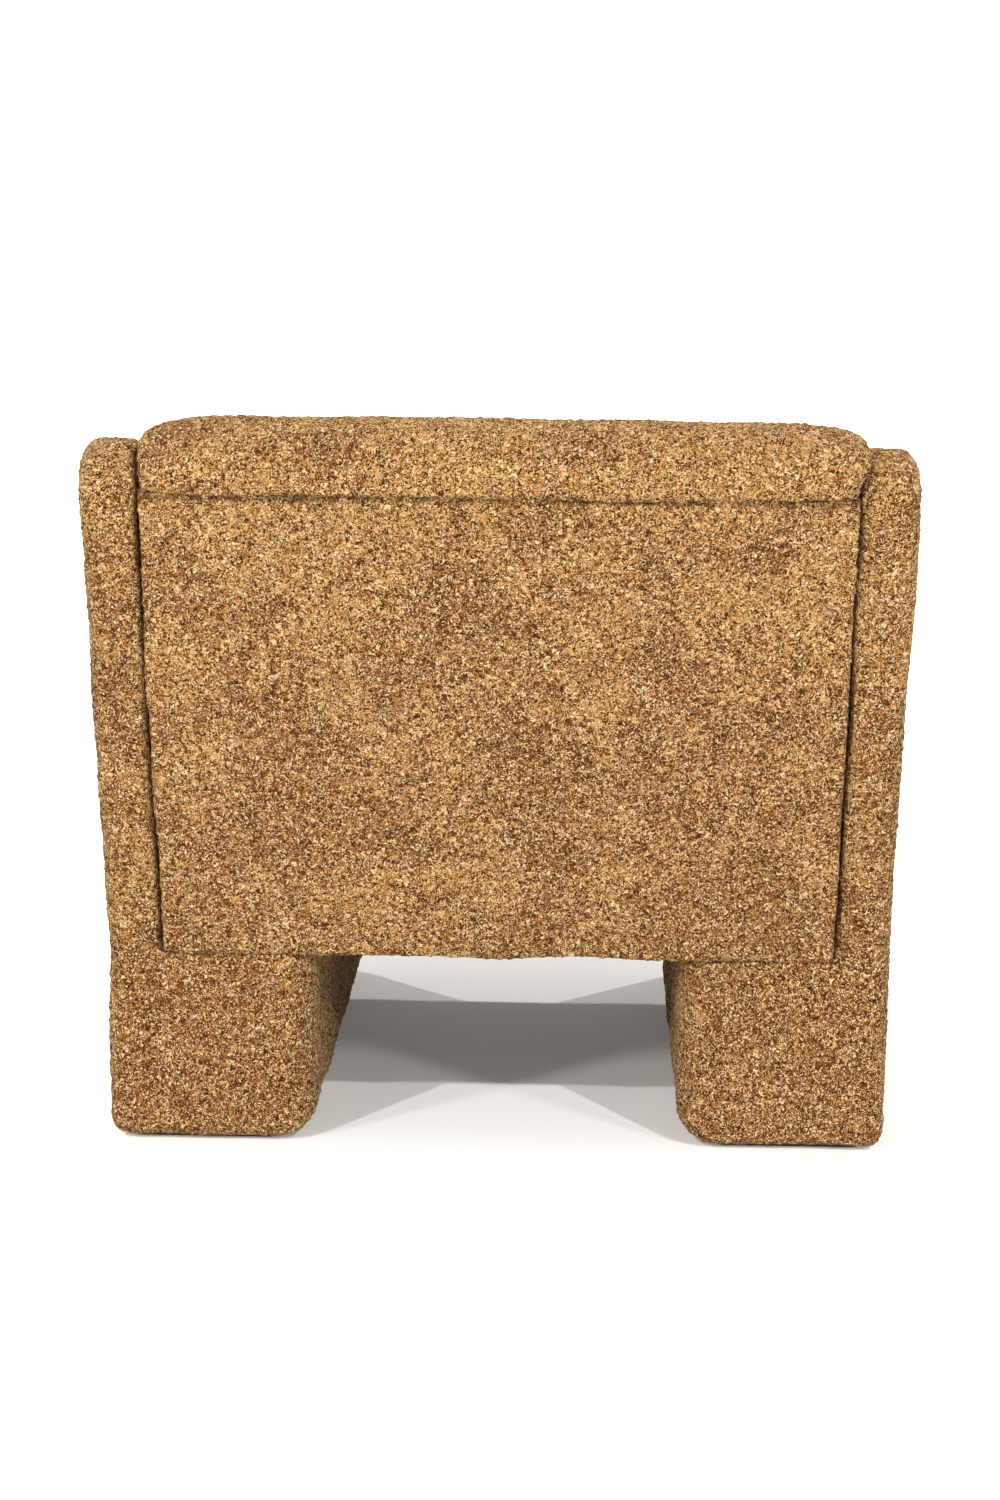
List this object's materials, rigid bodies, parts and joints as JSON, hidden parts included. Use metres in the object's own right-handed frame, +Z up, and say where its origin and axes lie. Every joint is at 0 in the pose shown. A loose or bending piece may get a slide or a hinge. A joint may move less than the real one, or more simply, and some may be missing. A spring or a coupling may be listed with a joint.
{
  "type": "lounge armchair",
  "caption": "Low upholstered lounge armchair with slab sides on wide feet, a raked back with a rolled top, and a lift-off seat over a shallow storage well.",
  "frame": {"origin": "on the floor, under the middle of the chair's overall box", "axes": "+Z up, the chair faces -Y (the back leans towards +Y), +X is the sitter's left"},
  "size_m": [0.78, 0.8625, 0.7326],
  "materials": {
    "boucle": "looped boucle pile, ochre and rust melange, matt with a soft sheen",
    "plywood": "bare birch plywood",
    "timber": "planed softwood, bare",
    "hardboard": "brown hardboard, smooth",
    "foam": "open-cell foam block, matt",
    "black_cloth": "black non-woven dust cloth",
    "webbing": "woven elastic webbing, matt",
    "lining": "plain woven lining cloth, taupe",
    "black_plastic": "moulded black base, satin",
    "zinc_steel": "zinc-plated"
  },
  "bodies": {
    "frame": {"back_bottom_rail": "timber", "back_cushion_cover": "boucle", "back_foam": "foam", "back_middle_rail": "timber", "back_top_rail": "timber", "back_webbing_1": "webbing", "back_webbing_2": "webbing", "back_webbing_3": "webbing", "back_webbing_4": "webbing", "dust_cloth": "black_cloth", "front_apron_cover": "boucle", "front_rail": "timber", "left_back_post": "timber", "left_base_plate": "black_plastic", "left_base_screw_1": "zinc_steel", "left_base_screw_2": "zinc_steel", "left_base_screw_3": "zinc_steel", "left_base_screw_4": "zinc_steel", "left_foot_box": "plywood", "left_frame_bolt_1": "zinc_steel", "left_frame_bolt_2": "zinc_steel", "left_frame_bolt_3": "zinc_steel", "left_frame_bolt_4": "zinc_steel", "left_frame_bolt_5": "zinc_steel", "left_seat_rail": "timber", "left_side_board": "plywood", "left_side_cover": "boucle", "outside_back_board": "hardboard", "outside_back_cover": "boucle", "rear_rail": "timber", "right_back_post": "timber", "right_base_plate": "black_plastic", "right_base_screw_1": "zinc_steel", "right_base_screw_2": "zinc_steel", "right_base_screw_3": "zinc_steel", "right_base_screw_4": "zinc_steel", "right_foot_box": "plywood", "right_frame_bolt_1": "zinc_steel", "right_frame_bolt_2": "zinc_steel", "right_frame_bolt_3": "zinc_steel", "right_frame_bolt_4": "zinc_steel", "right_frame_bolt_5": "zinc_steel", "right_seat_rail": "timber", "right_side_board": "plywood", "right_side_cover": "boucle", "well_floor_board": "plywood", "well_lining": "lining"},
    "seat": {"left_deck_batten": "timber", "right_deck_batten": "timber", "seat_base_cloth": "black_cloth", "seat_cushion_cover": "boucle", "seat_deck": "plywood", "seat_foam": "foam", "seat_pull_tab": "webbing"}
  },
  "joints": [
    {"name": "seat_lift", "type": "slide", "parent": "frame", "child": "seat", "axis": [0, 0, 1], "range_m": [0, 0.5]}
  ]
}
